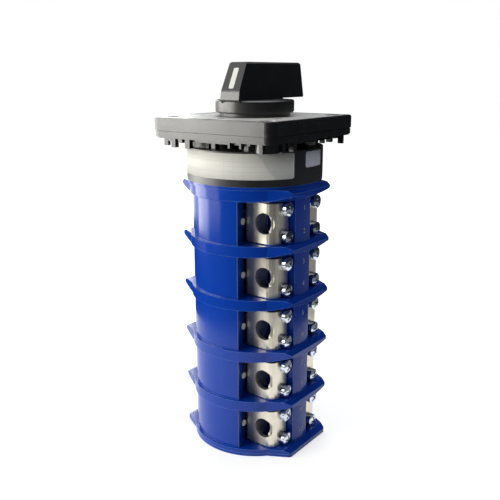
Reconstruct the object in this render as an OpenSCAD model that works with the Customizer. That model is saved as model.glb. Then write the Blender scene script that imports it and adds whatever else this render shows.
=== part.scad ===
// Panel-mounted rotary transfer switch with a stack of cam-driven contact stages.
// Sizes are in millimetres. Z runs up the shaft and z = 0 is the bottom of the stack.
// The terminals face +X and the pointer of the handle shows towards -Y at rest.

/* [Stack] */
// Number of contact stages
stages = 5; // [2:1:5]
// Outer radius of the smooth stage wall
wall_r = 38.6; // [38:0.1:40]
// Thickness of the stage wall
wall_t = 2.4; // [1.8:0.1:2.6]
// Radius of the round stretches of each flange
flange_r = 40.2; // [40.2:0.1:42]
// Thickness of each flange
flange_t = 2.5; // [2:0.1:3.2]
// Thickness of the end plate below the lowest stage
end_plate_t = 1.9; // [1.7:0.1:3]
// Distance of the straight flange sides from the shaft
ear_x = 42.7; // [42:0.1:45]
// Half length of the straight flange sides
ear_y = 20; // [18.5:0.1:22]
// Corner radius at the ends of the straight flange sides
ear_round = 2.2; // [1.5:0.1:3]
// Height of the sloping ears at their outer edge
ear_tip = 0.6; // [0.4:0.1:2]
// Angle from the X axis where a flange leaves its round stretch
crease_angle = 43; // [40:1:46]
// Height of the wall above a terminal window
lintel_h = 4.7; // [3.6:0.1:7]
// Angle from the X axis at which the terminal windows begin
window_angle = 69; // [68:1:72]
// Step on top of the stack cover
cover_step = 1.8; // [1.2:0.1:3]

/* [Terminals] */
// Thickness of the terminal straps
strap_t = 2.5; // [2:0.1:2.8]
// Height of the terminal straps
strap_h = 24; // [22:0.1:28]
// Height of a strap's foot above the flange
foot_room = 0.5; // [0.3:0.1:1]
// Gap between a strap and the wall above its window
head_room = 1.1; // [0.8:0.1:2.5]
// Distance of a strap's cable face from the middle plane
strap_front = 25; // [24.6:0.1:25.6]
// Distance of a strap's screw face from the shaft
strap_side = 33; // [32.5:0.1:34]
// Outer bend radius between the two strap faces
strap_bend = 6; // [5:0.1:6.4]
// Distance of a strap's free edge from the middle plane
strap_edge = 11.4; // [11:0.1:12.5]
// Diameter of the cable hole
cable_d = 12.6; // [10:0.1:13]
// Distance of the cable hole's axis from the shaft
cable_x = 25.2; // [24.8:0.1:25.6]
// Diameter of the terminal screws
clamp_d = 5; // [4:0.1:5.6]
// Distance between the two screws of a terminal
clamp_gap = 16.8; // [15.4:0.1:17.4]
// Distance of the screws from the middle plane
clamp_y = 15; // [14.8:0.1:15.4]
// Diameter of the screw heads
clamp_head_d = 8.6; // [7.6:0.1:9]
// Thickness of the plate that presses on the cable
press_t = 3.6; // [3:0.1:4]

/* [Contacts] */
// Height of the current bars and of the moving bridge
bar_h = 11; // [9:0.1:12]
// Thickness of the moving bridge
bridge_t = 2.5; // [2:0.1:2.8]
// Half length of the moving bridge
bridge_half = 23.8; // [23:0.1:24.2]
// Radius of the contact buttons
button_r = 2.3; // [1.8:0.1:2.6]
// Thickness of each contact button
button_t = 0.8; // [0.6:0.05:1]
// Outer face of the fixed contacts, measured from the shaft
contact_x = 18; // [17.6:0.1:18.4]
// Width of the bridge carrier
carrier_w = 12; // [10:0.1:14]
// Diameter of the contact springs
spring_d = 8; // [6:0.1:9]
// Wire diameter of the springs
wire_d = 1; // [0.7:0.1:1.3]

/* [Cams and shaft] */
// Width of the square shaft
shaft_w = 12; // [10:0.1:12.4]
// Cam radius with the handle at rest
cam_r = 13.9; // [13.5:0.1:14.2]
// Angle of the handle from rest to each end position
turn_angle = 60; // [45:5:60]
// Cam rise in millimetres for each radian of turn
cam_rise = 1.9; // [1.5:0.05:1.95]
// Height of the cam lobe
cam_h = 12; // [9:0.1:13]

/* [Index mechanism] */
// Radius of the black mechanism drum
drum_r = 41.7; // [41:0.1:43]
// Height of the drum
drum_h = 19.8; // [19:0.1:24]
// Wall thickness of the drum
drum_wall = 2.5; // [2:0.1:3]
// Tip radius of the index star
star_r = 20; // [18:0.1:21]
// Radius of the nose that drops into the star
nose_r = 4; // [3.4:0.1:4.4]
// Travel of the nose into a notch
nose_travel = 1.5; // [1.1:0.1:1.7]

/* [Front] */
// Width of the square front plate
plate_w = 88; // [86:0.5:96]
// Corner radius of the front plate
plate_corner = 5; // [3:0.1:8]
// Thickness of the front plate
front_t = 8; // [7:0.1:10]
// Thickness of the mounting plate behind it
mounting_t = 4; // [3:0.1:5]
// Height of the neck between the drum and the mounting plate
neck_h = 5.5; // [5.2:0.1:8]
// Distance of the mounting holes from the edges of the plate
mount_edge = 10; // [9:0.1:11]
// Diameter of the mounting holes
mount_hole_d = 5.4; // [4.4:0.1:6]
// Diameter of the bosses round the mounting holes
boss_d = 13; // [11:0.1:14]
// Thickness of the legend plate
legend_t = 0.8; // [0.6:0.1:1.2]

/* [Handle] */
// Radius of the collar on the front plate
collar_r = 21.5; // [20:0.1:22.5]
// Height of the collar
collar_h = 2.2; // [1.5:0.1:4]
// Radius of the handle's disc
disc_r = 23.8; // [23:0.1:26]
// Height of the top of the disc above the front plate
disc_top = 9.6; // [8.6:0.1:11]
// Height of the handle above the front plate
handle_h = 31.3; // [28:0.1:34]
// Width of the grip at its base
grip_w = 13.8; // [13:0.1:17]
// Width of the grip at its top
grip_top_w = 12.4; // [11:0.1:13]
// Reach of the grip's nose from the shaft
nose_reach = 24.5; // [24:0.1:27]
// Reach of the grip's tail from the shaft
tail_reach = 43.2; // [38:0.1:46]
// How far the end of the tail leans in at its top
tail_lean = 3.2; // [1:0.1:5]
// Width of the white pointer mark
mark_w = 3.6; // [2.5:0.1:5]
// Length of the white pointer mark
mark_l = 12.8; // [8:0.1:14]

/* [Hidden] */
$fn = 64;
tau = 0.05;
rest_gap = 0.1;
run_gap = 0.08;
slide_gap = 0.25;

// Heights along the stack
window_h = strap_h + foot_room + head_room;
stage_pitch = flange_t + window_h + lintel_h;
function stage_z(i) = end_plate_t + (i - 1) * stage_pitch;
stack_top = stage_z(stages + 1);
cover_top = stack_top + flange_t + cover_step;
drum_top = cover_top + drum_h;
mounting_bottom = drum_top + neck_h;
front_bottom = mounting_bottom + mounting_t;
panel_top = front_bottom + front_t;

// Shell of one stage
cover_r = drum_r - 0.4;
wall_in = wall_r - wall_t;
skirt_gap = 0.2;
spigot_h = 1.2;
spigot_t = 1.3;
hub_r = 9.2;
hole_r = hub_r + run_gap;
tie_y = 30;
tie_d = 4.8;
tie_hole_d = tie_d + 0.6;
tie_boss_r = 4.6;
rib_t = 2;

// Terminals, measured from the middle of a stage's window
mid_z = flange_t + foot_room + strap_h / 2;
bar_t = 2.5;
bar_y = 18.75;
leg_x = 12;
leg_bend = 1.6;
foot_x = -contact_x + bar_t / 2;
seat_x = cable_x - cable_d / 2 - 0.5;
seat_t = 3.2;
seat_depth = 11.4;
press_gap = 0.2;
press_front = 3.1;
press_slant = 2;
press_hole = 1.5;
saddle_r = cable_d / 2 + 0.4;
saddle_depth = 1.6;
screw_reach = strap_t + 1.6;
pin_d = 4;
pin_head_t = 1.2;
pin_x = leg_x - strap_t / 2 - 0.3;
pin_y = strap_front + 2.2;
washer_t = 1.1;
screw_room = 0.3;

// Partition between the terminals and wall of the cam chamber
edge_gap = 1.2;
block_half = strap_edge - edge_gap;
block_cut = 3.5;
block_wall = 2;
block_inset = 0.1;
chamber_r = 16.4;
chamber_wall = 1.4;
chamber_half = 46;
block_in = chamber_r + chamber_wall + 0.2;
pocket_wall = 2;
pocket_gap = 0.85;

// Contacts
fixed_face = contact_x + button_t;
travel = cam_rise * turn_angle * PI / 180;
bridge_rest = fixed_face + rest_gap + travel;
bridge_in = bridge_rest + button_t;
carrier_back = 2.2;
carrier_out = bridge_in + bridge_t + carrier_back;
carrier_lip = 1.5;
nose_round = 2.5;
foot_end_y = bridge_half + 0.3;
button_y = foot_end_y - button_r - 0.3;
guide_h = 7;
guide_l = 14;
bar_rib_x = -13;
bar_rib_l = 18;
stub_l = 1;
spring_turns = 4;

// Index mechanism in the drum
floor_t = 2.5;
star_z = cover_top + floor_t + 1.2;
star_h = 7;
star_notch_gap = 0.3;
lid_t = 2.5;
post_r = drum_r - 8.2;
post_d = 8;
stop_h = 3;
stop_w = 6;
stop_r = post_r - post_d / 2 - 2.5;
stop_half = 9;
body_screw_d = 3.1;
body_screw_l = 9;
body_head_d = 6.4;
body_head_t = 1.9;
nose_x = star_r + 0.15 + nose_r;
slider_end = drum_r - drum_wall - 6.2;
slider_w = 12.2;
slider_step = 2;
guide_t = 2;
guide_reach = 12;
index_wire_d = 0.9;
index_turns = 3;
nut_h = 4;
nut_w = 9.2;

// Mounting plate and front
mount_gap = plate_w - 2 * mount_edge;
plate_inset = 0.6;
plate_step = 0.8;
groove_h = 0.4;
rim_t = 0.5;
legend_w = plate_w - 8;
legend_corner = max(plate_corner - 2.4, 0.8);
shell_t = 3.5;
neck_w = 2 * (drum_r - 8.7);
neck_in = post_r - post_d / 2 - 0.5;
slab_from = 25;
slab_slots = [[-4, 21], [-9, 2]];
short_boss_h = 2;
blade_x = plate_w / 2 - 5.5;
blade_t = 3;
blades = [
    [35, 2.2, neck_h - 0.4],
    [-29, 3.2, neck_h - 0.2],
    [-23.5, 3, 2.4],
    [-18, 3.6, neck_h - 0.2],
    [13, 1.4, 3.2],
    [21, 1.4, 3.2]
];
ledge_l = 52;
ledge_h = 1.6;
ledge_t = 1.4;
plate_hole_r = 14;
front_hole_r = hub_r + 3;
front_ring_r = 19;

// Handle
handle_gap = 0.3;
disc_edge = 0.7;
grip_sunk = 3;
grip_start = 20;
tail_lift = 0.5;
screw_seat = 9;
screw_head_d = 7.4;
screw_d = 4;
screw_l = 14;
mark_t = 0.8;
mark_from = 1.6;
mark_round = 0.7;
mark_low = [nose_reach - 0.8, 15];
mark_high = [nose_reach - 8.8, handle_h];

// Stages that close when the handle turns left, the others close when it turns right
closes_left = [true, false, true, false, true];

// Plane geometry

function unit(v) = v / norm(v);
function left_of(v) = [-v.y, v.x];
function polar(r, a) = r * [cos(a), sin(a)];
function turn(a, b) = let (d = (b - a) % 360) d > 180 ? d - 360 : d < -180 ? d + 360 : d;

// Points of the arc of radius r that rounds the corner b between a and c
function corner(a, b, c, r, n = 5) =
    let (
        u = unit(a - b),
        v = unit(c - b),
        half = acos(u * v) / 2,
        o = b + unit(u + v) * r / sin(half),
        p = b + u * r / tan(half) - o,
        q = b + v * r / tan(half) - o,
        from = atan2(p.y, p.x),
        sweep = turn(from, atan2(q.y, q.x))
    )
    [for (i = [0:n]) o + r * [cos(from + sweep * i / n), sin(from + sweep * i / n)]];

// Closed outline whose corners are all rounded with radius r
function rounded(pts, r, n = 5) =
    let (m = len(pts))
    [for (i = [0:m - 1]) each corner(pts[(i + m - 1) % m], pts[i], pts[(i + 1) % m], r, n)];

// One side of a bent strip at distance h from its middle line, with bends of radius r
function strip_side(path, h, r) =
    let (m = len(path))
    [for (i = [0:m - 1])
        let (
            before = i == 0 ? unit(path[1] - path[0]) : unit(path[i] - path[i - 1]),
            after = i == m - 1 ? before : unit(path[i + 1] - path[i]),
            n0 = left_of(before),
            n1 = left_of(after),
            p = path[i] + (n0 + n1) / (1 + n0 * n1) * h,
            way = before.x * after.y - before.y * after.x
        )
        each (i == 0 || i == m - 1) ? [p] : corner(p - before, p, p + after, r - sign(way) * h)];

// Sheet metal strip of thickness t bent along a path
module strip(path, t, r) {
    back = strip_side(path, -t / 2, r);
    polygon(concat(strip_side(path, t / 2, r), [for (i = [len(back) - 1:-1:0]) back[i]]));
}

function oblong(w, h) = [[w / 2, h / 2], [-w / 2, h / 2], [-w / 2, -h / 2], [w / 2, -h / 2]];

module rounded_square(w, r) {
    polygon(rounded(oblong(w, w), r, 6));
}

// Ring segment between two angles
module sector(r, from, to) {
    step = (to - from) / 4;
    polygon([[0, 0], for (i = [0:4]) 2 * r * [cos(from + i * step), sin(from + i * step)]]);
}

// The flange outline, round on two sides and straight with ears on the other two
module flange_outline(grow = 0) {
    crease = flange_r * [cos(crease_angle), sin(crease_angle)];
    circle(flange_r + grow);
    polygon(rounded([
        [ear_x + grow, ear_y],
        [crease.x, crease.y + grow],
        [-crease.x, crease.y + grow],
        [-ear_x - grow, ear_y],
        [-ear_x - grow, -ear_y],
        [-crease.x, -crease.y - grow],
        [crease.x, -crease.y - grow],
        [ear_x + grow, -ear_y]
    ], ear_round));
}

// Wedges that slope the tops of the ears, with a disc of radius keep_r left whole
module ear_slopes(keep_r) {
    from = wall_r + skirt_gap;
    run = ear_x - from;
    rise = flange_t - ear_tip;
    difference() {
        for (s = [0, 1]) mirror([s, 0, 0]) translate([0, 2 * ear_y, 0]) rotate([90, 0, 0])
            linear_extrude(4 * ear_y) polygon([
                [from - run / 2, flange_t + rise / 2],
                [ear_x + run, ear_tip - rise],
                [ear_x + run, flange_t + rise]
            ]);
        translate([0, 0, -flange_t]) cylinder(r = keep_r, h = 4 * flange_t);
    }
}

// Coil spring along +Z
module coil(d, wire, length, turns) {
    sides = 6;
    around = 10;
    steps = turns * around;
    rise = (length - wire) / steps;
    ring = [for (s = [0:steps]) for (k = [0:sides - 1])
        let (a = s * 360 / around, b = k * 360 / sides, r = (d - wire) / 2 + wire / 2 * cos(b))
        [r * cos(a), r * sin(a), wire / 2 + s * rise + wire / 2 * sin(b)]];
    skin = [for (s = [0:steps - 1]) for (k = [0:sides - 1])
        let (a = s * sides + k, b = s * sides + (k + 1) % sides)
        [a, a + sides, b + sides, b]];
    ends = [
        [for (k = [0:sides - 1]) k],
        [for (k = [sides - 1:-1:0]) steps * sides + k]
    ];
    polyhedron(ring, concat(skin, ends), convexity = 6);
}

module mirror_y_pair() {
    children();
    mirror([0, 1, 0]) children();
}

module four_corners(gap) {
    for (sx = [-1, 1]) for (sy = [-1, 1]) translate([sx * gap / 2, sy * gap / 2, 0]) children();
}

module tie_holes(d, h) {
    for (s = [-1, 1]) translate([0, s * tie_y, -1]) cylinder(d = d, h = h + 2);
}

// Housing of one contact stage

// Slanted skirt that carries the flange ears of the stage above the window
module ear_skirt() {
    difference() {
        intersection() {
            translate([0, 0, -lintel_h]) linear_extrude(lintel_h) flange_outline();
            translate([0, 0, -lintel_h])
                cylinder(r1 = wall_r + skirt_gap, r2 = norm([ear_x, ear_y]) + 1, h = lintel_h);
        }
        translate([0, 0, -lintel_h - 1]) cylinder(r = wall_r + skirt_gap, h = lintel_h + 2);
    }
}

// Hollow block between the two terminals, with the wall of the cam chamber
module partition_outline() {
    slant = [strap_side + edge_gap, block_half];
    far_end = [wall_r, block_cut] * 1.5 - slant / 2;
    difference() {
        union() {
            intersection() {
                circle(wall_r - block_inset);
                polygon([
                    [0, -block_half],
                    [far_end.x, -block_half],
                    far_end,
                    slant,
                    [0, block_half]
                ]);
            }
            intersection() {
                circle(chamber_r + chamber_wall);
                sector(chamber_r, -chamber_half, chamber_half);
            }
        }
        circle(chamber_r);
        polygon([
            [block_in, -block_half + block_wall],
            [wall_in, -block_half + block_wall],
            [wall_in, block_cut - block_wall],
            [strap_side + edge_gap - 1.3 * block_wall, block_half - block_wall],
            [block_in, block_half - block_wall]
        ]);
    }
}

// Side wall that closes a terminal pocket towards the contact chamber
module pocket_outline() {
    inner = [leg_x - strap_t / 2 - pocket_gap, -strap_front + 0.4];
    polygon([
        polar(wall_r - 0.2, -window_angle - 1),
        polar(wall_in - 0.8, -window_angle - 1),
        inner + [-pocket_wall, 0],
        inner,
        polar(wall_r - 0.2, -window_angle + 0.6)
    ]);
}

// Ring under a flange that centres it in the wall of the stage below
module spigot() {
    translate([0, 0, -spigot_h]) difference() {
        cylinder(r = wall_in - slide_gap, h = spigot_h + tau);
        translate([0, 0, -1]) cylinder(r = wall_in - slide_gap - spigot_t, h = spigot_h + 2);
    }
}

// Ribs that carry the current bars and guide the bridge carrier
module contact_ribs() {
    shelf_h = mid_z - bar_h / 2 - flange_t;
    translate([bar_rib_x, -bar_y - rib_t / 2, 0]) cube([bar_rib_l, rib_t, shelf_h]);
    translate([bar_rib_x, -bar_y - bar_t / 2 - rest_gap - rib_t, 0])
        cube([bar_rib_l, rib_t, shelf_h + bar_h]);
    translate([-wall_in + 3, -carrier_w / 2 - slide_gap - rib_t, 0]) cube([guide_l, rib_t, guide_h]);
}

// Groove in the flange below the head of a lower clamp screw
module screw_groove() {
    translate([strap_side - slide_gap, -clamp_y, -clamp_gap / 2]) rotate([0, 90, 0])
        cylinder(r = clamp_head_d / 2 + screw_room, h = ear_x);
}

module stage_housing(i) {
    color("mediumblue") translate([0, 0, stage_z(i)]) difference() {
        union() {
            difference() {
                linear_extrude(flange_t) flange_outline();
                ear_slopes(wall_r - 1);
            }
            difference() {
                cylinder(r = wall_r, h = stage_pitch);
                translate([0, 0, flange_t]) cylinder(r = wall_in, h = stage_pitch);
                translate([0, 0, flange_t]) linear_extrude(window_h)
                    sector(wall_r, -window_angle, window_angle);
            }
            translate([0, 0, flange_t - tau]) {
                linear_extrude(window_h + 2 * tau) partition_outline();
                mirror_y_pair() {
                    linear_extrude(window_h + 2 * tau) pocket_outline();
                    linear_extrude(mid_z - strap_h / 2 - flange_t)
                        strip(strap_path(), strap_t - 1, strap_bend - strap_t / 2);
                    contact_ribs();
                }
                for (s = [-1, 1]) translate([0, s * tie_y, 0])
                    cylinder(r = tie_boss_r, h = stage_pitch - flange_t + tau);
            }
            if (i > 1) {
                ear_skirt();
                spigot();
            }
        }
        translate([0, 0, -spigot_h - 1]) cylinder(r = hole_r, h = flange_t + spigot_h + 2);
        tie_holes(tie_hole_d, stage_pitch);
        translate([0, 0, mid_z]) mirror_y_pair() {
            pin_shape(rest_gap);
            screw_groove();
        }
    }
}

// End plate with countersunk holes for the tie bolts
module end_plate() {
    color("mediumblue") difference() {
        linear_extrude(end_plate_t - tau) flange_outline();
        translate([0, 0, -1]) cylinder(r = hub_r - 2, h = end_plate_t + 2);
        for (s = [-1, 1]) translate([0, s * tie_y, -tau])
            cylinder(r1 = tie_d, r2 = tie_d / 2 + 0.3, h = end_plate_t);
    }
}

module stack_cover() {
    color("mediumblue") translate([0, 0, stack_top]) difference() {
        union() {
            difference() {
                linear_extrude(flange_t) flange_outline();
                ear_slopes(cover_r);
            }
            translate([0, 0, flange_t - tau]) cylinder(r = cover_r, h = cover_step + tau);
            ear_skirt();
            spigot();
        }
        translate([0, 0, -spigot_h - 1]) cylinder(r = hole_r, h = flange_t + cover_step + spigot_h + 2);
        tie_holes(tie_hole_d, flange_t + cover_step);
    }
}

// Terminals, made for the side towards -Y and mirrored for the other

function strap_path() =
    let (f = -strap_front + strap_t / 2, s = strap_side - strap_t / 2)
    [[s, -strap_edge], [s, f], [cable_x, f]];

function leg_path() =
    let (f = -strap_front + strap_t / 2)
    [[cable_x + tau, f], [leg_x, f], [leg_x, -bar_y - bar_t / 2]];

function bar_path() =
    [[leg_x, -bar_y - bar_t], [leg_x, -bar_y], [foot_x, -bar_y], [foot_x, -foot_end_y]];

module strap_face() {
    translate([0, 0, -strap_h / 2]) linear_extrude(strap_h) {
        strip(strap_path(), strap_t, strap_bend - strap_t / 2);
        strip(leg_path(), strap_t, leg_bend);
    }
}

// Block behind the strap on which the cable is pressed
module cable_seat() {
    seat_h = strap_h - 4;
    translate([seat_x - seat_t, -strap_front + strap_t - tau, -seat_h / 2])
        cube([seat_t, seat_depth, seat_h]);
}

module current_bar() {
    translate([0, 0, -bar_h / 2]) linear_extrude(bar_h) strip(bar_path(), bar_t, bar_t - 0.5);
    translate([-contact_x + tau, -button_y, 0]) rotate([0, -90, 0])
        cylinder(r = button_r, h = button_t + tau);
}

module clamp_holes(d, from, length) {
    for (s = [-1, 1]) translate([from, -clamp_y, s * clamp_gap / 2])
        rotate([0, 90, 0]) cylinder(d = d, h = length);
}

module terminal() {
    difference() {
        union() {
            strap_face();
            cable_seat();
            current_bar();
        }
        translate([cable_x, -strap_front - 1, 0]) rotate([-90, 0, 0]) cylinder(d = cable_d, h = strap_t + 2);
        clamp_holes(clamp_d + rest_gap, strap_side - strap_t - 1, strap_t + 2);
    }
}

// Headed pin in the pocket wall next to the strap, larger by grow for its hole
module pin_shape(grow = 0) {
    translate([pin_x, -pin_y, 0]) rotate([0, 90, 0]) {
        cylinder(d = pin_d + grow, h = pin_head_t + grow);
        translate([0, 0, -pin_d]) cylinder(d = pin_d / 2 + grow, h = pin_d + tau);
    }
}

module terminal_pins() {
    color("white") for (i = [1:stages]) translate([0, 0, stage_z(i) + mid_z]) mirror_y_pair() pin_shape();
}

module terminals(i) {
    color("silver") translate([0, 0, stage_z(i) + mid_z]) mirror_y_pair() terminal();
}

// Plate with a round saddle that the two screws press on the cable
module clamp_plate() {
    x = strap_side - strap_t - press_gap - press_t;
    front = -strap_front + press_front;
    plate_h = strap_h - 3;
    difference() {
        translate([0, 0, -plate_h / 2]) linear_extrude(plate_h) polygon([
            [x, -strap_edge - press_gap],
            [x, front],
            [x + press_t - press_slant, front],
            [x + press_t, front + press_slant + slide_gap],
            [x + press_t, -strap_edge - press_gap]
        ]);
        translate([x + saddle_depth - saddle_r, -strap_front, 0]) rotate([-90, 0, 0])
            cylinder(r = saddle_r, h = strap_front);
        clamp_holes(clamp_d + rest_gap, x + press_t - press_hole, press_t);
    }
}

module clamp_plates(i) {
    color("gainsboro") translate([0, 0, stage_z(i) + mid_z]) mirror_y_pair() clamp_plate();
}

// Cross-recessed screw with two washers, its head towards +Z and the strap face at z = 0
module clamp_screw() {
    head_h = 3.6;
    edge_r = 1.4;
    slot_w = 1.1;
    slot_l = 0.6 * clamp_head_d;
    washer_r = clamp_head_d / 2;
    r = washer_r - 0.2;
    difference() {
        union() {
            translate([0, 0, -screw_reach]) cylinder(d = clamp_d, h = screw_reach + washer_t);
            translate([0, 0, tau]) cylinder(r = washer_r, h = washer_t / 2 - tau);
            translate([0, 0, washer_t / 2 - tau]) cylinder(r = r - 0.5, h = washer_t / 2 + 2 * tau);
            translate([0, 0, washer_t]) rotate_extrude() intersection() {
                square([r, head_h]);
                translate([0, head_h - 2 * r]) circle(2 * r);
                union() {
                    square([r, head_h - edge_r]);
                    square([r - edge_r, head_h]);
                    translate([r - edge_r, head_h - edge_r]) circle(edge_r);
                }
            }
        }
        for (a = [0, 90]) rotate(a) translate([-slot_l / 2, -slot_w / 2, washer_t + head_h / 2])
            cube([slot_l, slot_w, head_h]);
    }
}

module clamp_screws(i) {
    color("lightgray") translate([0, 0, stage_z(i) + mid_z]) mirror_y_pair()
        for (s = [-1, 1]) translate([strap_side, -clamp_y, s * clamp_gap / 2])
            rotate([0, 90, 0]) rotate(20 + 25 * s) clamp_screw();
}

// Moving contacts, on the side of the shaft away from the terminals

// Radius of a cam at angle a from the follower, falling as a runs from -turn_angle to turn_angle
function cam_radius(a) =
    let (t = turn_angle, w = turn(0, a))
    abs(w) <= t ? cam_r - cam_rise * w * PI / 180
    : abs(w) <= 2 * t ? cam_r - sign(w) * travel
    : cam_r - sign(w) * travel * sin(90 * (180 - abs(w)) / (180 - 2 * t));

module cam(i) {
    way = closes_left[i - 1] ? -1 : 1;
    color("dimgray") translate([0, 0, stage_z(i)]) difference() {
        union() {
            translate([0, 0, mid_z - cam_h / 2]) linear_extrude(cam_h)
                polygon([for (a = [0:5:355]) cam_radius(way * a) * [cos(180 + a), sin(180 + a)]]);
            translate([0, 0, rest_gap]) cylinder(r = hub_r, h = stage_pitch - 2 * rest_gap);
        }
        translate([0, 0, -1]) shaft_hole(stage_pitch + 2);
    }
}

module bridge_carrier(i) {
    nose = -cam_r - rest_gap - nose_round;
    foot = flange_t + slide_gap;
    top = mid_z + bar_h / 2 + carrier_back;
    color("ivory") translate([0, 0, stage_z(i)]) difference() {
        union() {
            translate([0, 0, foot]) linear_extrude(top - foot) {
                translate([nose, 0]) circle(nose_round);
                translate([-carrier_out, -nose_round]) square([carrier_out + nose, 2 * nose_round]);
                translate([-carrier_out, -carrier_w / 2])
                    square([carrier_out - bridge_rest + carrier_lip, carrier_w]);
            }
            translate([-carrier_out - stub_l, 0, mid_z]) rotate([0, 90, 0])
                cylinder(d = spring_d - 2 * wire_d - 0.4, h = stub_l + tau);
        }
        translate([-bridge_in - bridge_t - tau, -carrier_w, mid_z - bar_h / 2 + tau])
            cube([bridge_t + 2 * tau, 2 * carrier_w, bar_h - 2 * tau]);
    }
}

module contact_bridge(i) {
    height = bar_h - 4 * tau;
    color("peru") translate([0, 0, stage_z(i) + mid_z]) {
        translate([-bridge_in - bridge_t, -bridge_half, -height / 2])
            cube([bridge_t, 2 * bridge_half, height]);
        for (s = [-1, 1]) translate([-bridge_in - tau, s * button_y, 0])
            rotate([0, 90, 0]) cylinder(r = button_r, h = button_t + tau);
    }
}

module contact_spring(i) {
    color("silver") translate([-carrier_out - tau, 0, stage_z(i) + mid_z]) rotate([0, -90, 0])
        coil(spring_d, wire_d, wall_in - carrier_out - 0.7, spring_turns);
}

// Shaft and tie bolts

module shaft_hole(h) {
    w = shaft_w + 0.1;
    translate([-w / 2, -w / 2, 0]) cube([w, w, h]);
}

module shaft() {
    bottom = end_plate_t + slide_gap;
    top = panel_top + disc_top + 6;
    thread_l = 14;
    color("darkgray") difference() {
        translate([-shaft_w / 2, -shaft_w / 2, bottom]) cube([shaft_w, shaft_w, top - bottom]);
        translate([0, 0, top - thread_l]) cylinder(d = screw_d + 0.2, h = thread_l + 1);
    }
}

module tie_bolts() {
    color("silver") for (s = [-1, 1]) translate([0, s * tie_y, rest_gap]) {
        cylinder(d = tie_d, h = cover_top + floor_t + nut_h + 2);
        cylinder(r1 = tie_d - 0.3, r2 = tie_d / 2, h = end_plate_t - 0.2);
    }
}

module tie_nuts() {
    color("silver") for (s = [-1, 1]) translate([0, s * tie_y, cover_top + floor_t + tau]) difference() {
        cylinder(d = nut_w, h = nut_h, $fn = 6);
        translate([0, 0, -1]) cylinder(d = tie_d + rest_gap, h = nut_h + 2);
    }
}

// Index mechanism in the drum

module screw_posts(d, z, h) {
    for (a = [45:90:315]) rotate(a) translate([post_r, 0, z]) cylinder(d = d, h = h);
}

// Ring segment of an end stop
module stop_outline() {
    intersection() {
        difference() {
            circle(stop_r);
            circle(stop_r - stop_w);
        }
        sector(stop_r, -stop_half, stop_half);
    }
}

module mechanism_housing() {
    inside = cover_top + floor_t;
    rail_y = slider_w / 2 + slide_gap + 0.05;
    color([0.06, 0.06, 0.07]) difference() {
        union() {
            difference() {
                translate([0, 0, cover_top + rest_gap]) cylinder(r = drum_r, h = drum_h - rest_gap);
                translate([0, 0, inside]) cylinder(r = drum_r - drum_wall, h = drum_h);
            }
            screw_posts(post_d, inside - tau, drum_h - floor_t - lid_t - tau);
            for (a = [0, 180]) rotate(a) mirror_y_pair()
                translate([slider_end - guide_reach + 3.5, rail_y, inside - tau])
                    cube([guide_reach, guide_t, star_h + star_z - inside + slide_gap]);
        }
        translate([0, 0, cover_top - 1]) cylinder(r = hole_r, h = floor_t + 2);
        translate([0, 0, cover_top]) tie_holes(tie_hole_d, floor_t);
        screw_posts(body_screw_d + rest_gap, drum_top - lid_t - body_screw_l - 1, body_screw_l + 3);
    }
}

module mechanism_lid() {
    post_angle = turn_angle + 2 * stop_half + 1;
    color([0.08, 0.08, 0.09]) translate([0, 0, drum_top - lid_t]) difference() {
        union() {
            cylinder(r = drum_r - drum_wall - skirt_gap, h = lid_t);
            for (s = [-1, 1]) rotate(90 + s * post_angle) translate([0, 0, -stop_h])
                linear_extrude(stop_h + tau) stop_outline();
        }
        translate([0, 0, -1]) cylinder(r = hole_r, h = lid_t + 2);
        screw_posts(body_screw_d + 0.5, -1, lid_t + 2);
    }
}

module index_star() {
    hub_top = drum_top + 0.5;
    notch_r = nose_r + 0.4;
    notch_x = star_r - nose_travel - star_notch_gap + notch_r;
    color("whitesmoke") difference() {
        union() {
            translate([0, 0, star_z]) difference() {
                cylinder(r = star_r, h = star_h);
                for (a = [0:60:300]) rotate(a) translate([notch_x, 0, -1])
                    cylinder(r = notch_r, h = star_h + 2);
            }
            translate([0, 0, cover_top + skirt_gap]) cylinder(r = hub_r, h = hub_top - cover_top - skirt_gap);
            translate([0, 0, drum_top - lid_t - stop_h + rest_gap]) linear_extrude(stop_h - 0.4)
                intersection() {
                    circle(stop_r);
                    rotate(90) sector(stop_r, -stop_half, stop_half);
                }
        }
        translate([0, 0, cover_top - 1]) shaft_hole(hub_top - cover_top + 2);
    }
}

// Slider on the +X side, turned by half a turn for the other
module index_slider(k) {
    color("khaki") rotate(180 * (k - 1)) translate([0, 0, star_z]) linear_extrude(star_h) {
        translate([nose_x, 0]) circle(nose_r);
        translate([nose_x, -nose_r]) square([slider_end - nose_x, 2 * nose_r]);
        translate([nose_x + slider_step, -slider_w / 2])
            square([slider_end - nose_x - slider_step, slider_w]);
    }
}

module index_springs() {
    length = drum_r - drum_wall - slider_end - 0.5;
    color("silver") for (k = [0, 1]) rotate(180 * k)
        translate([slider_end + rest_gap, 0, star_z + star_h / 2]) rotate([0, 90, 0])
            coil(star_h - 0.6, index_wire_d, length, index_turns);
}

// Mounting plate behind the panel, with bosses, blades and a slotted neck

module neck_outline() {
    difference() {
        intersection() {
            circle(drum_r - 3);
            rounded_square(neck_w, 8);
        }
        circle(neck_in);
        for (a = [0:90:270]) rotate(a) for (slot = slab_slots)
            translate([slab_from, slot[0]]) square([neck_w / 2, slot[1]]);
    }
}

// Tall bosses on one diagonal of the plate and short ones on the other
module plate_bosses() {
    for (s = [-1, 1]) {
        translate([s * mount_gap / 2, -s * mount_gap / 2, mounting_bottom - neck_h + 0.5])
            cylinder(d = boss_d, h = neck_h);
        translate([s * mount_gap / 2, s * mount_gap / 2, mounting_bottom - short_boss_h])
            cylinder(d = boss_d - 4, h = short_boss_h + tau);
    }
}

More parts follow.
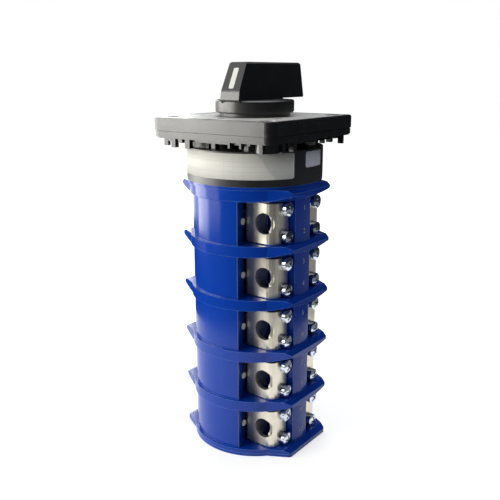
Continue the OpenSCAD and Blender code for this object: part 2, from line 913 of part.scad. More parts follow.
// Blades that stand in a row below each side of the plate
module plate_blades() {
    for (a = [0:90:270]) rotate(a) {
        for (blade = blades) translate([blade_x, blade[0] - blade[1] / 2, mounting_bottom - blade[2]])
            cube([blade_t, blade[1], blade[2] + tau]);
        translate([blade_x - ledge_t / 2, -ledge_l / 2, mounting_bottom - ledge_h])
            cube([ledge_t, ledge_l, ledge_h + tau]);
    }
}

module mounting_plate() {
    width = plate_w - plate_inset;
    color([0.07, 0.07, 0.08]) difference() {
        union() {
            translate([0, 0, mounting_bottom]) linear_extrude(plate_step)
                rounded_square(width - 2 * plate_step, plate_corner - plate_step);
            translate([0, 0, mounting_bottom + plate_step - tau])
                linear_extrude(mounting_t - plate_step + tau) rounded_square(width, plate_corner);
            translate([0, 0, drum_top + tau]) linear_extrude(neck_h) neck_outline();
            plate_bosses();
            plate_blades();
        }
        translate([0, 0, mounting_bottom - 1]) cylinder(r = plate_hole_r, h = mounting_t + 2);
        translate([0, 0, drum_top]) four_corners(mount_gap)
            cylinder(d = mount_hole_d, h = neck_h + mounting_t + 1);
        screw_posts(body_screw_d + 0.5, drum_top - 1, neck_h + mounting_t + 3);
        screw_posts(body_head_d + 0.6, front_bottom - body_head_t - 0.5, mounting_t);
    }
}

// Screws that hold the mounting plate and the lid on the drum
module body_screws() {
    seat = front_bottom - body_head_t - 0.4;
    start = drum_top - lid_t - body_screw_l;
    color("silver") {
        screw_posts(body_screw_d, start, seat - start + rest_gap);
        screw_posts(body_head_d, seat, body_head_t);
    }
}

module front_plate() {
    color([0.07, 0.07, 0.08]) translate([0, 0, front_bottom + rest_gap]) difference() {
        union() {
            linear_extrude(groove_h + tau)
                rounded_square(plate_w - 4 * groove_h, plate_corner - 2 * groove_h);
            translate([0, 0, groove_h]) linear_extrude(front_t - rest_gap - rim_t - groove_h)
                rounded_square(plate_w, plate_corner);
            translate([0, 0, front_t - rest_gap - rim_t - tau]) linear_extrude(rim_t + tau)
                rounded_square(plate_w - 2 * rim_t, plate_corner - rim_t);
        }
        translate([0, 0, front_t - rest_gap - legend_t]) linear_extrude(legend_t + 1)
            rounded_square(legend_w + skirt_gap, legend_corner + skirt_gap / 2);
        translate([0, 0, -1]) linear_extrude(front_t - shell_t + 1) difference() {
            rounded_square(plate_w - 2 * shell_t, legend_corner + 0.5);
            four_corners(mount_gap) circle(d = boss_d - 2);
            circle(front_ring_r);
            for (a = [0, 90]) rotate(a) square([plate_w, rib_t], center = true);
        }
        translate([0, 0, -2]) cylinder(r = front_hole_r, h = front_t + 4);
        translate([0, 0, -1]) four_corners(mount_gap) cylinder(d = mount_hole_d, h = front_t + 2);
    }
}

module legend_plate() {
    color("whitesmoke") translate([0, 0, panel_top - legend_t]) difference() {
        linear_extrude(legend_t) rounded_square(legend_w, legend_corner);
        translate([0, 0, -1]) cylinder(r = front_hole_r, h = legend_t + 2);
        translate([0, 0, -1]) four_corners(mount_gap) cylinder(d = mount_hole_d + 4, h = legend_t + 2);
    }
}

// Handle

// Side view of the grip, reach towards the pointer along X and height along Y
function grip_side() =
    let (
        low = [-tail_reach, disc_top + tail_lift],
        high = [tail_lean - tail_reach, handle_h],
        foot = [nose_reach, disc_top]
    )
    concat(
        [[-grip_start, disc_top - grip_sunk], [-grip_start, low.y]],
        corner([-grip_start, low.y], low, high, 0.8, 3),
        corner(low, high, mark_high, 1.4),
        corner(high, mark_high, mark_low, 1.2),
        corner(mark_high, mark_low, foot, 6),
        corner(mark_low, foot, [disc_r - 2, disc_top - 1.5], 1),
        [[disc_r - 2, disc_top - grip_sunk]]
    );

module grip() {
    edge = 1;
    half = grip_w / 2;
    top_half = grip_top_w / 2;
    rotate([90, 0, 0]) intersection() {
        rotate([0, -90, 0]) translate([0, 0, -grip_w]) linear_extrude(2 * grip_w) polygon(grip_side());
        translate([0, 0, -tail_reach - 5]) linear_extrude(2 * tail_reach + 10) polygon([
            [-half, disc_top - grip_sunk - 1],
            [half, disc_top - grip_sunk - 1],
            [half, disc_top],
            [top_half, handle_h - edge],
            [top_half - edge, handle_h],
            [edge - top_half, handle_h],
            [-top_half, handle_h - edge],
            [-half, disc_top]
        ]);
    }
}

// Bar on the slanted face of the grip, from a depth below it to a height above it
module mark_shape(grow, depth, height) {
    slope = mark_high - mark_low;
    translate([0, -mark_low.x, mark_low.y]) rotate([-atan2(-slope.x, slope.y), 0, 0])
        translate([0, depth, mark_from + mark_l / 2]) rotate([90, 0, 0]) linear_extrude(depth + height)
            polygon(rounded(oblong(mark_w + grow, mark_l + grow), mark_round, 3));
}

module handle() {
    color([0.05, 0.05, 0.06]) translate([0, 0, panel_top]) difference() {
        union() {
            rotate_extrude() polygon([
                [0, handle_gap],
                [collar_r, handle_gap],
                [collar_r, collar_h],
                [disc_r - disc_edge, collar_h],
                [disc_r, collar_h + disc_edge],
                [disc_r, disc_top - disc_edge],
                [disc_r - disc_edge, disc_top],
                [0, disc_top]
            ]);
            grip();
        }
        mark_shape(rest_gap, mark_t + tau, 1);
        translate([0, 0, -1]) shaft_hole(disc_top + 7.5);
        translate([0, 0, -1]) cylinder(d = screw_d + 0.6, h = handle_h + 2);
        translate([0, 0, handle_h - screw_seat]) cylinder(d = screw_head_d + 0.6, h = screw_seat + 1);
    }
}

module handle_mark() {
    color("white") translate([0, 0, panel_top]) mark_shape(0, mark_t, tau);
}

module handle_screw() {
    head_h = 2.8;
    slot_w = 0.8;
    slot_l = 4;
    seat = panel_top + handle_h - screw_seat;
    color("silver") difference() {
        union() {
            translate([0, 0, seat + tau]) cylinder(d = screw_head_d, h = head_h);
            translate([0, 0, seat - screw_l]) cylinder(d = screw_d, h = screw_l + 2 * tau);
        }
        for (a = [0, 90]) rotate(a) translate([-slot_l / 2, -slot_w / 2, seat + head_h / 2])
            cube([slot_l, slot_w, head_h]);
    }
}

end_plate();
stack_cover();
shaft();
tie_bolts();
tie_nuts();
mechanism_housing();
mechanism_lid();
index_star();
index_springs();
index_slider(1);  // index_slider_1
index_slider(2);  // index_slider_2
mounting_plate();
body_screws();
front_plate();
legend_plate();
handle();
handle_mark();
handle_screw();
terminal_pins();
for (i = [1:stages]) {
    stage_housing(i);
    terminals(i);
    clamp_plates(i);
    clamp_screws(i);
    cam(i);
    bridge_carrier(i);
    contact_bridge(i);
    contact_spring(i);
}
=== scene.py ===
"""Looks of the rotary transfer switch: materials, springs, labels, numbers, light and camera.

Every length is in metres, in the frame of the CAD model. Angles round the shaft are in degrees,
counter-clockwise from +X.
"""

import math

import bmesh
import bpy
from mathutils import Matrix, Vector


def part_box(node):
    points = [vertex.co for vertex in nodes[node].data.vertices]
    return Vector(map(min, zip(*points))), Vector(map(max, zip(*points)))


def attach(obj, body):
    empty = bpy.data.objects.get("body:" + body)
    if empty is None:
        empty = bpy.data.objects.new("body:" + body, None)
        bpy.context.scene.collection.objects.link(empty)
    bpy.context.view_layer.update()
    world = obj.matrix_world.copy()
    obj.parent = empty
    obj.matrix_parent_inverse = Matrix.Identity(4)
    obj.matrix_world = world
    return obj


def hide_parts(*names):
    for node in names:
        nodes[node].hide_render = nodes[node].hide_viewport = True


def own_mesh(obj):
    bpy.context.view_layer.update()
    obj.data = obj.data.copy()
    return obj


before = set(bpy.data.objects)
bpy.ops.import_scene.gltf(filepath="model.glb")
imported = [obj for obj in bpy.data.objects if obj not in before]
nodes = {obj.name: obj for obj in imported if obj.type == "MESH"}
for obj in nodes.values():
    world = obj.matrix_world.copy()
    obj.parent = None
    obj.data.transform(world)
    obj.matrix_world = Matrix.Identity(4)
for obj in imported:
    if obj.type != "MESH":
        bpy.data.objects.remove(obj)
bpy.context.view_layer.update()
STAGES = range(1, 6)


def object_from(name, bm):
    """Object of the scene made from a finished bmesh."""
    mesh = bpy.data.meshes.new(name)
    bm.to_mesh(mesh)
    bm.free()
    obj = bpy.data.objects.new(name, mesh)
    bpy.context.collection.objects.link(obj)
    return obj


# Nodes of the materials


def new_material(name):
    """Empty node material, with its tree and its output node."""
    mat = bpy.data.materials.new(name)
    mat.use_nodes = True
    tree = mat.node_tree
    tree.nodes.clear()
    return mat, tree, tree.nodes.new("ShaderNodeOutputMaterial")


def link(tree, a, b):
    tree.links.new(a, b)


def maths(tree, operation, *values):
    """Math node, whose values are numbers or sockets."""
    node = tree.nodes.new("ShaderNodeMath")
    node.operation = operation
    for socket, value in zip(node.inputs, values):
        if isinstance(value, float):
            socket.default_value = value
        else:
            link(tree, value, socket)
    return node.outputs["Value"]


def coordinates(tree, scale=(1, 1, 1)):
    coord = tree.nodes.new("ShaderNodeTexCoord")
    mapping = tree.nodes.new("ShaderNodeMapping")
    mapping.inputs["Scale"].default_value = scale
    link(tree, coord.outputs["Object"], mapping.inputs["Vector"])
    return mapping.outputs["Vector"]


def noise(tree, vector, scale, detail=3.0, rough=0.5, distortion=0.0):
    """Noise between 0 and 1, with its scale in waves per metre."""
    node = tree.nodes.new("ShaderNodeTexNoise")
    node.inputs["Scale"].default_value = scale
    node.inputs["Detail"].default_value = detail
    node.inputs["Roughness"].default_value = rough
    node.inputs["Distortion"].default_value = distortion
    link(tree, vector, node.inputs["Vector"])
    return node.outputs["Fac"]


def ramp(tree, value, source, target):
    """Map a value from the source range to the target range, and clamp it there."""
    node = tree.nodes.new("ShaderNodeMapRange")
    node.inputs["From Min"].default_value = source[0]
    node.inputs["From Max"].default_value = source[1]
    node.inputs["To Min"].default_value = target[0]
    node.inputs["To Max"].default_value = target[1]
    link(tree, value, node.inputs["Value"])
    return node.outputs["Result"]


def mix(tree, fac, a, b):
    """Mix two colours, each a tuple or a socket."""
    node = tree.nodes.new("ShaderNodeMix")
    node.data_type = "RGBA"
    link(tree, fac, node.inputs["Factor"])
    for key, colour in (("A", a), ("B", b)):
        socket = [s for s in node.inputs if s.name == key and s.type == "RGBA"][0]
        if isinstance(colour, tuple):
            socket.default_value = (*colour, 1)
        else:
            link(tree, colour, socket)
    return [s for s in node.outputs if s.type == "RGBA"][0]


def sharp_edge_mask(tree, radius):
    """1 on sharp edges and 0 on open faces."""
    geometry = tree.nodes.new("ShaderNodeNewGeometry")
    bevel = tree.nodes.new("ShaderNodeBevel")
    bevel.samples = 4
    bevel.inputs["Radius"].default_value = radius
    dot = tree.nodes.new("ShaderNodeVectorMath")
    dot.operation = "DOT_PRODUCT"
    link(tree, geometry.outputs["Normal"], dot.inputs[0])
    link(tree, bevel.outputs["Normal"], dot.inputs[1])
    return ramp(tree, dot.outputs["Value"], (0.99, 0.8), (0.0, 1.0))


def bump(tree, height, strength, distance, normal=None):
    node = tree.nodes.new("ShaderNodeBump")
    node.inputs["Strength"].default_value = strength
    node.inputs["Distance"].default_value = distance
    link(tree, height, node.inputs["Height"])
    if normal is not None:
        link(tree, normal, node.inputs["Normal"])
    return node.outputs["Normal"]


def principled(tree, out, colour, rough, normal):
    """Principled shader on the output, with its colour, roughness and normal linked."""
    shader = tree.nodes.new("ShaderNodeBsdfPrincipled")
    link(tree, colour, shader.inputs["Base Color"])
    link(tree, rough, shader.inputs["Roughness"])
    link(tree, normal, shader.inputs["Normal"])
    link(tree, shader.outputs["BSDF"], out.inputs["Surface"])
    return shader


# Materials


def plastic(
    name,
    colour,
    dusty,
    rough=(0.3, 0.42),
    grain=900,
    grain_depth=0.00002,
    specular=0.5,
    edge_wear_and_highlight=0.35,
    edge=None,
):
    """Moulded plastic: fine grain, slow changes of gloss, a little dust and paler edges: worn
    edges in the dusty colour, and a painted highlight where an edge colour is given.
    """
    mat, tree, out = new_material(name)
    vector = coordinates(tree)
    cloud = noise(tree, vector, 38, detail=4, rough=0.6)
    dust = noise(tree, vector, 210, detail=5, rough=0.65, distortion=0.4)
    base = mix(tree, ramp(tree, dust, (0.52, 0.8), (0.0, 0.35)), colour, dusty)
    # Sharp edges take the edge colour: worn edges in the dusty colour, and a painted highlight
    # where an edge colour is given, as on the blue parts
    tone_mix = ramp(tree, sharp_edge_mask(tree, radius=0.0005), (0.0, 1.0), (0.0, edge_wear_and_highlight))
    fine = bump(tree, noise(tree, vector, grain, detail=2), 0.25, grain_depth)
    waves = bump(tree, noise(tree, vector, 60, detail=2), 0.2, 0.00015, fine)
    gloss = ramp(tree, cloud, (0.3, 0.7), rough)
    shader = principled(tree, out, mix(tree, tone_mix, base, edge or dusty), gloss, waves)
    shader.inputs["Specular IOR Level"].default_value = specular
    return mat


def metal(
    name,
    colour,
    stained,
    rough=(0.18, 0.34),
    brush=(1, 1, 40),
    brush_scale=60,
    depth=0.00002,
    metallic=1.0,
):
    """Plated metal: brushed or rolled texture, cloudy plating and darker stains."""
    mat, tree, out = new_material(name)
    vector = coordinates(tree)
    streak = noise(tree, coordinates(tree, brush), brush_scale, detail=4, rough=0.6)
    cloud = noise(tree, vector, 95, detail=5, rough=0.62, distortion=0.6)
    base = mix(tree, ramp(tree, cloud, (0.45, 0.72), (0.0, 0.75)), colour, stained)
    fine = bump(tree, streak, 0.3, depth)
    waves = bump(tree, noise(tree, vector, 140, detail=2), 0.25, 0.00006, fine)
    shader = principled(tree, out, base, ramp(tree, streak, (0.3, 0.7), rough), waves)
    shader.inputs["Metallic"].default_value = metallic
    return mat


M = {
    "blue": plastic(
        "blue_plastic",
        colour=(0.001, 0.044, 0.375),
        dusty=(0.006, 0.06, 0.42),
        rough=(0.12, 0.2),
        grain=700,
        grain_depth=0.00001,
        specular=0.36,
        # Painted highlight: the sharp edges of the blue parts turn pale blue, where the rounded
        # edges catch the light
        edge_wear_and_highlight=0.9,
        edge=(0.12, 0.28, 0.8),
    ),
    "drum": plastic(
        "drum_plastic",
        colour=(0.011, 0.011, 0.012),
        dusty=(0.06, 0.058, 0.054),
        rough=(0.36, 0.46),
        grain=1100,
        specular=0.9,
    ),
    "front": plastic(
        "front_plastic",
        colour=(0.01, 0.01, 0.011),
        dusty=(0.06, 0.058, 0.054),
        rough=(0.26, 0.36),
        grain=1100,
        specular=0.82,
    ),
    "knob": plastic(
        "knob_plastic",
        colour=(0.009, 0.009, 0.01),
        dusty=(0.05, 0.049, 0.045),
        rough=(0.32, 0.42),
        grain=1300,
        specular=0.75,
    ),
    "legend": metal(
        "legend_foil",
        colour=(0.72, 0.72, 0.7),
        stained=(0.6, 0.6, 0.58),
        rough=(0.35, 0.5),
        brush=(60, 1, 1),
        brush_scale=40,
        depth=0.00001,
        metallic=0.25,
    ),
    "mark": plastic(
        "mark_enamel",
        colour=(0.74, 0.74, 0.72),
        dusty=(0.66, 0.65, 0.6),
        rough=(0.4, 0.5),
        grain=800,
        grain_depth=0.00001,
        specular=0.3,
        edge_wear_and_highlight=0.1,
    ),
    "pin": plastic(
        "pin_plastic",
        colour=(0.78, 0.8, 0.82),
        dusty=(0.6, 0.61, 0.62),
        rough=(0.25, 0.35),
        grain=800,
        grain_depth=0.00001,
        edge_wear_and_highlight=0.1,
    ),
    "nickel": metal(
        "nickel_strap",
        colour=(0.86, 0.81, 0.68),
        stained=(0.7, 0.65, 0.51),
        rough=(0.28, 0.34),
        brush=(1, 1, 5),
        brush_scale=90,
        depth=0.000002,
        metallic=0.85,
    ),
    "plate": metal(
        "zinc_plate",
        colour=(0.6, 0.6, 0.58),
        stained=(0.4, 0.39, 0.36),
        rough=(0.3, 0.44),
        brush=(1, 1, 12),
        brush_scale=90,
        depth=0.00001,
        metallic=0.85,
    ),
    "zinc": metal(
        "zinc_screw",
        colour=(0.72, 0.77, 0.84),
        stained=(0.42, 0.47, 0.54),
        rough=(0.08, 0.2),
        brush=(1, 1, 1),
        brush_scale=450,
        depth=0.00012,
    ),
    "steel": metal(
        "steel_shaft",
        colour=(0.58, 0.58, 0.58),
        stained=(0.42, 0.41, 0.4),
        rough=(0.25, 0.4),
        brush=(30, 30, 1),
        brush_scale=50,
    ),
    "spring": metal(
        "spring_wire", colour=(0.5, 0.5, 0.52), stained=(0.36, 0.35, 0.34), rough=(0.25, 0.4)
    ),
    "copper": metal(
        "copper_bridge", colour=(0.72, 0.42, 0.3), stained=(0.5, 0.28, 0.2), rough=(0.25, 0.42)
    ),
    "cam": plastic(
        "cam_plastic", colour=(0.02, 0.02, 0.022), dusty=(0.1, 0.1, 0.1), rough=(0.45, 0.6)
    ),
    "carrier": plastic(
        "carrier_plastic", colour=(0.6, 0.55, 0.42), dusty=(0.5, 0.46, 0.36), rough=(0.45, 0.6)
    ),
    "star": plastic(
        "star_plastic", colour=(0.66, 0.66, 0.63), dusty=(0.5, 0.5, 0.47), rough=(0.4, 0.55)
    ),
}


def paint(names, key, edge):
    """Give CAD nodes a material and, where edge isn't 0, small rounded edges."""
    for name in names:
        obj = nodes[name]
        obj.data.materials.clear()
        obj.data.materials.append(M[key])
        if edge:
            mod = obj.modifiers.new("edge", "BEVEL")
            mod.width = edge
            mod.segments = 2
            mod.limit_method = "ANGLE"
            mod.angle_limit = math.radians(38)
            mod.harden_normals = True


def each(prefix):
    return [f"{prefix}_{i}" for i in STAGES]


# Nodes, their material and the width of their rounded edges
FINISHES = (
    (each("stage_housing") + ["stack_cover", "end_plate"], "blue", 0.0003),
    (["mechanism_housing", "mechanism_lid"], "drum", 0.0003),
    (["mounting_plate", "front_plate"], "front", 0.0003),
    (["handle"], "knob", 0.0005),
    (["legend_plate"], "legend", 0.0001),
    (["handle_mark"], "mark", 0.0001),
    (["terminal_pins"], "pin", 0.0003),
    (each("terminals"), "nickel", 0.0002),
    (each("clamp_plates"), "plate", 0.0002),
    (each("clamp_screws") + ["body_screws", "handle_screw"], "zinc", 0.00015),
    (["shaft", "tie_bolts", "tie_nuts"], "steel", 0.0),
    (["index_springs"], "spring", 0.0),
    (each("contact_bridge"), "copper", 0.0002),
    (each("cam"), "cam", 0.0),
    (each("bridge_carrier") + ["index_slider_1", "index_slider_2"], "carrier", 0.0),
    (["index_star"], "star", 0.0),
)
for names, key, edge in FINISHES:
    paint(names, key, edge)

# Contact springs, wound coils attached to the bodies of their carriers

WIRE = 0.001
TURNS = 5.5
CLOSED_TURNS = 0.75
CLOSED_PITCH = 1.04 * WIRE
STEPS_PER_TURN = 24
WIRE_SIDES = 10


def spring_rise(turn, length):
    """Height of the wire's centre at a turn, with the end turns wound close."""
    free = (length - WIRE - 2 * CLOSED_TURNS * CLOSED_PITCH) / (TURNS - 2 * CLOSED_TURNS)
    low = min(turn, CLOSED_TURNS)
    high = max(turn - (TURNS - CLOSED_TURNS), 0.0)
    return WIRE / 2 + (low + high) * CLOSED_PITCH + (turn - low - high) * free


def wire_ring(bm, middle, out):
    """Ring of points round the wire, square to its way round the spring."""
    along = Vector((1, 0, 0))
    ring = []
    for k in range(WIRE_SIDES):
        b = 2 * math.pi * k / WIRE_SIDES
        ring.append(bm.verts.new(middle + (out * math.cos(b) + along * math.sin(b)) * WIRE / 2))
    return ring


def wound_spring(stage):
    """Spring from the carrier out to the wall, in the place of the plain CAD spring."""
    low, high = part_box(f"contact_spring_{stage}")
    length = high[0] - low[0]
    radius = (high[1] - low[1] - WIRE) / 2
    centre = Vector((high[0], (low[1] + high[1]) / 2, (low[2] + high[2]) / 2))
    bm = bmesh.new()
    rings = []
    for s in range(round(TURNS * STEPS_PER_TURN) + 1):
        a = 2 * math.pi * s / STEPS_PER_TURN
        out = Vector((0, math.cos(a), math.sin(a)))
        rise = Vector((spring_rise(s / STEPS_PER_TURN, length), 0, 0))
        rings.append(wire_ring(bm, centre + out * radius - rise, out))
    for one, two in zip(rings, rings[1:]):
        for k in range(WIRE_SIDES):
            bm.faces.new([one[k - 1], one[k], two[k], two[k - 1]]).smooth = True
    bm.faces.new(rings[0][::-1])
    bm.faces.new(rings[-1])
    bmesh.ops.recalc_face_normals(bm, faces=bm.faces)
    obj = object_from(f"spring_{stage}", bm)
    obj.data.materials.append(M["spring"])
    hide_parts(f"contact_spring_{stage}")
    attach(obj, f"carrier_{stage}")
    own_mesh(obj)


for stage in STAGES:
    wound_spring(stage)

# Labels

LINE_COLOUR = (0.45, 0.45, 0.44)


def label_material(name, colour, faint, patch=None, lines=None):
    """Paper label without lettering.

    patch is a greyer end of it: where it begins across the label, its lean, and its colour.
    lines is faint ruling: for each UV axis, the places of the lines and their half widths.
    """
    mat, tree, out = new_material(name)
    vector = coordinates(tree)
    cloud = noise(tree, vector, 70, detail=4, rough=0.6)
    paper = mix(tree, ramp(tree, cloud, (0.35, 0.75), (0.0, 0.5)), colour, faint)
    coord = tree.nodes.new("ShaderNodeUVMap")
    coord.uv_map = "UVMap"
    parts = tree.nodes.new("ShaderNodeSeparateXYZ")
    link(tree, coord.outputs["UV"], parts.inputs[0])
    if patch:
        begin, lean, grey = patch
        across = maths(tree, "MULTIPLY_ADD", parts.outputs["Y"], lean, parts.outputs["X"])
        ragged = noise(tree, vector, 160, rough=0.6)
        across = maths(tree, "MULTIPLY_ADD", ragged, 0.05, across)
        paper = mix(tree, ramp(tree, across, (begin, begin + 0.012), (0.0, 0.8)), paper, grey)
    if lines:
        for axis, places in lines.items():
            for place, half in places:
                gap = maths(tree, "SUBTRACT", parts.outputs[axis], place)
                away = maths(tree, "ABSOLUTE", gap)
                fac = ramp(tree, away, (half * 0.5, half), (0.35, 0.0))
                paper = mix(tree, fac, paper, LINE_COLOUR)
    rough = ramp(tree, cloud, (0.3, 0.7), (0.45, 0.6))
    fibres = bump(tree, noise(tree, vector, 500, rough=0.6), 0.2, 0.00001)
    shader = principled(tree, out, paper, rough, fibres)
    shader.inputs["Specular IOR Level"].default_value = 0.15
    return mat


DRUM_R = 0.0417
LABEL_THICK = 0.00012
LABEL_COLUMNS = 72


def curved_label(name, from_deg, to_deg, low, high, corner, material, body):
    """Sheet on the outside of the drum, with rounded corners and UVs across it."""
    width = DRUM_R * math.radians(to_deg - from_deg)
    height = high - low
    bm = bmesh.new()
    uv = bm.loops.layers.uv.new("UVMap")
    grid = {}

    def add_vert(side, column, edge, s, t):
        a = math.radians(from_deg) + s / DRUM_R
        r = DRUM_R + (LABEL_THICK if side == "out" else 0.0)
        vert = bm.verts.new((r * math.cos(a), r * math.sin(a), low + t))
        grid[side, column, edge] = (vert, s / width, t / height)

    def add_face(keys):
        face = bm.faces.new([grid[k][0] for k in keys])
        for loop, k in zip(face.loops, keys):
            loop[uv].uv = grid[k][1:]
        face.smooth = True

    for side in ("in", "out"):
        for i in range(LABEL_COLUMNS + 1):
            s = width * i / LABEL_COLUMNS
            near = min(s, width - s)
            cut = 0.0
            if near < corner:
                cut = corner - math.sqrt(max(corner**2 - (corner - near) ** 2, 0.0))
            add_vert(side, i, 0, s, cut)
            add_vert(side, i, 1, s, height - cut)
    for i in range(LABEL_COLUMNS):
        add_face([("out", i, 0), ("out", i + 1, 0), ("out", i + 1, 1), ("out", i, 1)])
        add_face([("in", i, 1), ("in", i + 1, 1), ("in", i + 1, 0), ("in", i, 0)])
        add_face([("in", i, 0), ("in", i + 1, 0), ("out", i + 1, 0), ("out", i, 0)])
        add_face([("out", i, 1), ("out", i + 1, 1), ("in", i + 1, 1), ("in", i, 1)])
    ring = [("in", 0), ("out", 0), ("out", 1), ("in", 1)]
    add_face([(side, LABEL_COLUMNS, edge) for side, edge in ring])
    add_face([(side, 0, edge) for side, edge in ring[::-1]])
    bm.normal_update()
    obj = object_from(name, bm)
    obj.data.materials.append(material)
    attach(obj, body)


main_label = label_material(
    "paper_main",
    colour=(0.74, 0.73, 0.68),
    faint=(0.68, 0.67, 0.62),
    patch=(0.888, 0.13, (0.55, 0.56, 0.55)),
    lines={
        "Y": [(0.3, 0.012), (0.5, 0.012), (0.7, 0.012)],
        "X": [(0.534, 0.002), (0.598, 0.002), (0.662, 0.002)],
    },
)
small_label = label_material("paper_small", colour=(0.5, 0.53, 0.6), faint=(0.42, 0.45, 0.52))
curved_label("drum_label", -143, -21, 0.1745, 0.1892, 0.0006, main_label, "base")
curved_label("drum_sticker", -9, 15, 0.1800, 0.1890, 0.0012, small_label, "base")

# Numbers


def ink(name, colour, rough=0.5):
    """Worn ink or raised plastic of a number."""
    mat, tree, out = new_material(name)
    fade = noise(tree, coordinates(tree), 900)
    darker = tuple(c * 0.7 for c in colour)
    tone_mix = mix(tree, ramp(tree, fade, (0.4, 0.7), (0.0, 1.0)), colour, darker)
    gloss = ramp(tree, fade, (0.3, 0.7), (rough, rough + 0.15))
    principled(tree, out, tone_mix, gloss, bump(tree, fade, 0.2, 0.00001))
    return mat


def number(name, words, size, origin, across, up, thick, material, body):
    """Plain number standing on a surface, given its across and up directions."""
    curve = bpy.data.curves.new(name + "_text", "FONT")
    curve.body = words
    curve.size = size
    curve.align_x = "CENTER"
    curve.align_y = "CENTER"
    curve.extrude = thick
    curve.resolution_u = 3
    text = bpy.data.objects.new(name + "_text", curve)
    bpy.context.collection.objects.link(text)
    bpy.context.view_layer.update()
    mesh = bpy.data.meshes.new_from_object(text)
    bpy.data.objects.remove(text)
    mesh.name = name
    a = Vector(across).normalized()
    u = Vector(up).normalized()
    turn = Matrix((a, u, a.cross(u))).transposed().to_4x4()
    mesh.transform(Matrix.Translation(Vector(origin)) @ turn)
    obj = bpy.data.objects.new(name, mesh)
    bpy.context.collection.objects.link(obj)
    mesh.materials.append(material)
    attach(obj, body)


def round_shaft(radius, angle, height):
    return (radius * math.cos(angle), radius * math.sin(angle), height)


# Places of the handle on the legend plate

PANEL_TOP = 0.2075
LEGEND_R = 0.0325
LEGEND_SIZE = 0.008
LEGEND_THICK = 0.00002
legend_ink = ink("legend_ink", (0.02, 0.02, 0.022))
for words, angle in (("1", -150), ("0", -90), ("2", -30)):
    at = round_shaft(LEGEND_R, math.radians(angle), PANEL_TOP + 0.00001)
    number(
        "legend_number_" + words, words, LEGEND_SIZE, at, (1, 0, 0), (0, 1, 0), LEGEND_THICK,
        legend_ink, "base",
    )

# Terminal numbers, two on the partition of each stage, counted from the top

FIRST_MIDDLE = 0.0169
STAGE_PITCH = 0.0328
PARTITION_R = 0.0385
MARK_ANGLE = math.radians(-3.5)
MARK_SIZE = 0.0042
MARK_THICK = 0.0001
MARK_RISES = (0.0075, -0.0065)
relief_ink = ink("relief_ink", (0.45, 0.46, 0.52), 0.35)
across_mark = (-math.sin(MARK_ANGLE), math.cos(MARK_ANGLE), 0)
for stage in STAGES:
    middle = FIRST_MIDDLE + (stage - 1) * STAGE_PITCH
    for step, rise in enumerate(MARK_RISES, 1):
        words = str(2 * (STAGES[-1] - stage) + step)
        at = round_shaft(PARTITION_R, MARK_ANGLE, middle + rise)
        number(
            "terminal_number_" + words, words, MARK_SIZE, at, across_mark, (0, 0, 1), MARK_THICK,
            relief_ink, "base",
        )

# Background and floor

AMBIENT = 0.2
FLOOR_R = 6.0
FLOOR_COLOUR = (0.7, 0.7, 0.7, 1)
# Only seen rays meet the floor's glow, which grows with the distance from the shaft
GLOW_DISTANCES = (0.12, 0.9)
GLOW_STRENGTHS = (0.6, 0.87)


def seen_ray(tree):
    """1 for rays of the camera, mirrors and glass, and 0 for the rest."""
    path = tree.nodes.new("ShaderNodeLightPath")
    total = path.outputs["Is Camera Ray"]
    for key in ("Is Glossy Ray", "Is Transmission Ray"):
        total = maths(tree, "MAXIMUM", total, path.outputs[key])
    return total


world = bpy.data.worlds.new("studio")
bpy.context.scene.world = world
world.use_nodes = True
wt = world.node_tree
wt.nodes.clear()
w_out = wt.nodes.new("ShaderNodeOutputWorld")
soft = wt.nodes.new("ShaderNodeBackground")
soft.inputs["Color"].default_value = (0.95, 0.98, 1.0, 1)
soft.inputs["Strength"].default_value = AMBIENT
white = wt.nodes.new("ShaderNodeBackground")
white.inputs["Color"].default_value = (1, 1, 1, 1)
white.inputs["Strength"].default_value = 1.0
w_mix = wt.nodes.new("ShaderNodeMixShader")
link(wt, seen_ray(wt), w_mix.inputs[0])
link(wt, soft.outputs[0], w_mix.inputs[1])
link(wt, white.outputs[0], w_mix.inputs[2])
link(wt, w_mix.outputs[0], w_out.inputs["Surface"])

bm = bmesh.new()
bmesh.ops.create_circle(bm, cap_ends=True, radius=FLOOR_R, segments=96)
floor = object_from("floor", bm)
f_mat, ft, f_out = new_material("floor_white")
f_diff = ft.nodes.new("ShaderNodeBsdfDiffuse")
f_diff.inputs["Color"].default_value = FLOOR_COLOUR
f_emit = ft.nodes.new("ShaderNodeEmission")
f_emit.inputs["Color"].default_value = (1, 1, 1, 1)
f_place = ft.nodes.new("ShaderNodeTexCoord")
f_far = ft.nodes.new("ShaderNodeVectorMath")
f_far.operation = "LENGTH"
link(ft, f_place.outputs["Object"], f_far.inputs[0])
f_glow = ramp(ft, f_far.outputs["Value"], GLOW_DISTANCES, GLOW_STRENGTHS)
link(ft, maths(ft, "MULTIPLY", seen_ray(ft), f_glow), f_emit.inputs["Strength"])
f_add = ft.nodes.new("ShaderNodeAddShader")
link(ft, f_diff.outputs[0], f_add.inputs[0])
link(ft, f_emit.outputs[0], f_add.inputs[1])
link(ft, f_add.outputs[0], f_out.inputs["Surface"])
floor.data.materials.append(f_mat)

# Screens that reflections alone see

SCREEN_STEP = 5


def glow(name, colour, strength):
    mat, tree, out = new_material(name)
    shader = tree.nodes.new("ShaderNodeEmission")
    shader.inputs["Color"].default_value = (*colour, 1)
    shader.inputs["Strength"].default_value = strength
    link(tree, shader.outputs[0], out.inputs["Surface"])
    return mat


def reflections_only(obj, material):
    obj.data.materials.append(material)
    obj.visible_camera = False
    obj.visible_shadow = False
    obj.visible_diffuse = False


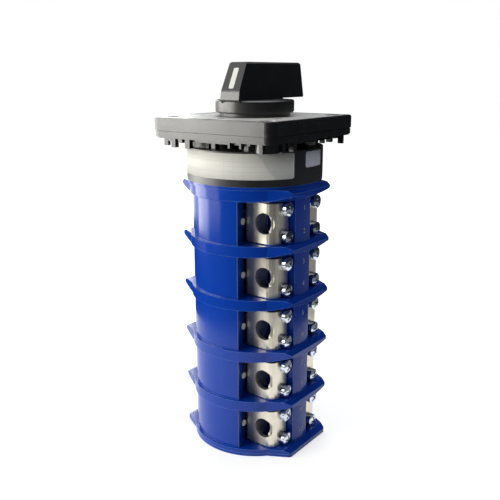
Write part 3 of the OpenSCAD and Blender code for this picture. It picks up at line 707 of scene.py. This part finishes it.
def screen(name, radius, from_deg, to_deg, low, high, material):
    """Upright curved screen round the shaft."""
    bm = bmesh.new()
    steps = round((to_deg - from_deg) / SCREEN_STEP)
    columns = []
    for i in range(steps + 1):
        a = math.radians(from_deg + (to_deg - from_deg) * i / steps)
        columns.append([bm.verts.new(round_shaft(radius, a, z)) for z in (low, high)])
    for (a0, a1), (b0, b1) in zip(columns, columns[1:]):
        bm.faces.new([a0, b0, b1, a1])
    reflections_only(object_from(name, bm), material)


def floor_ring(name, inner, outer, height, material):
    """Flat ring just over the floor, round the shaft."""
    bm = bmesh.new()
    angles = [math.radians(a) for a in range(0, 360, SCREEN_STEP)]
    near, far = [[bm.verts.new(round_shaft(r, a, height)) for a in angles] for r in (inner, outer)]
    for k in range(len(angles)):
        bm.faces.new([near[k - 1], far[k - 1], far[k], near[k]])
    reflections_only(object_from(name, bm), material)


screen_dark = glow("screen_dark", (0.6, 0.75, 1.0), 0.03)
screen_bright = glow("screen_bright", (1.0, 0.98, 0.92), 7.0)
screen_grey = glow("screen_grey", (0.9, 0.93, 1.0), 0.26)
screen("dark_screen", 0.30, -115, 140, 0.11, 0.5, screen_dark)
screen("dark_screen_low", 0.30, -115, -30, 0.0, 0.11, screen_dark)
screen("grey_screen_low", 0.30, -30, 140, 0.0, 0.11, screen_grey)
screen("bright_screen", 0.50, 184, 216, 0.03, 0.4, screen_bright)
floor_ring("dark_ring", 0.24, 0.7, 0.0005, screen_dark)

# Lamps


def area_light(name, place, target, size, power, colour=(1, 1, 1)):
    """Rectangular lamp at a place, turned to a target."""
    data = bpy.data.lights.new(name, "AREA")
    data.shape = "RECTANGLE"
    data.size, data.size_y = size
    data.energy = power
    data.color = colour
    obj = bpy.data.objects.new(name, data)
    bpy.context.collection.objects.link(obj)
    obj.location = place
    facing = Vector(target) - Vector(place)
    obj.rotation_euler = facing.to_track_quat("-Z", "Y").to_euler()
    obj.visible_camera = False


area_light("key", (-0.588, -0.809, 0.32), (0, 0, 0.12), (0.8, 0.5), 9.8, (1.0, 0.98, 0.93))
area_light("back", (-0.7, 0.75, 0.5), (0, 0, 0.12), (0.7, 0.7), 6.0, (0.95, 0.98, 1.0))
area_light("top", (0.0, 0.1, 1.3), (0, 0, 0.2), (0.9, 0.9), 5.5)

# Camera, fitted to the photograph

EYE = Vector((0.24792, -0.33140, 0.23254))
ACROSS_ANGLE = math.radians(36.8)
LOOK_HEIGHT = 0.12327
LOOK_SHIFT = -0.00315
ROLL = math.radians(-0.17)
SENSOR = 36.0
FOCAL_SHARE = 670.49 / 500

camera_data = bpy.data.cameras.new("camera")
camera = bpy.data.objects.new("camera", camera_data)
bpy.context.collection.objects.link(camera)
bpy.context.scene.camera = camera
camera_data.sensor_fit = "HORIZONTAL"
camera_data.sensor_width = SENSOR
camera_data.lens = FOCAL_SHARE * SENSOR
camera_data.clip_start = 0.01
across = Vector((math.cos(ACROSS_ANGLE), math.sin(ACROSS_ANGLE), 0))
look = Vector((0, 0, LOOK_HEIGHT)) + across * LOOK_SHIFT
forward = (look - EYE).normalized()
level = forward.cross(Vector((0, 0, 1))).normalized()
above = level.cross(forward)
right = level * math.cos(ROLL) + above * math.sin(ROLL)
up = above * math.cos(ROLL) - level * math.sin(ROLL)
turn = Matrix((right, up, -forward)).transposed().to_4x4()
camera.matrix_world = Matrix.Translation(EYE) @ turn

bpy.context.scene.view_settings.view_transform = "Standard"
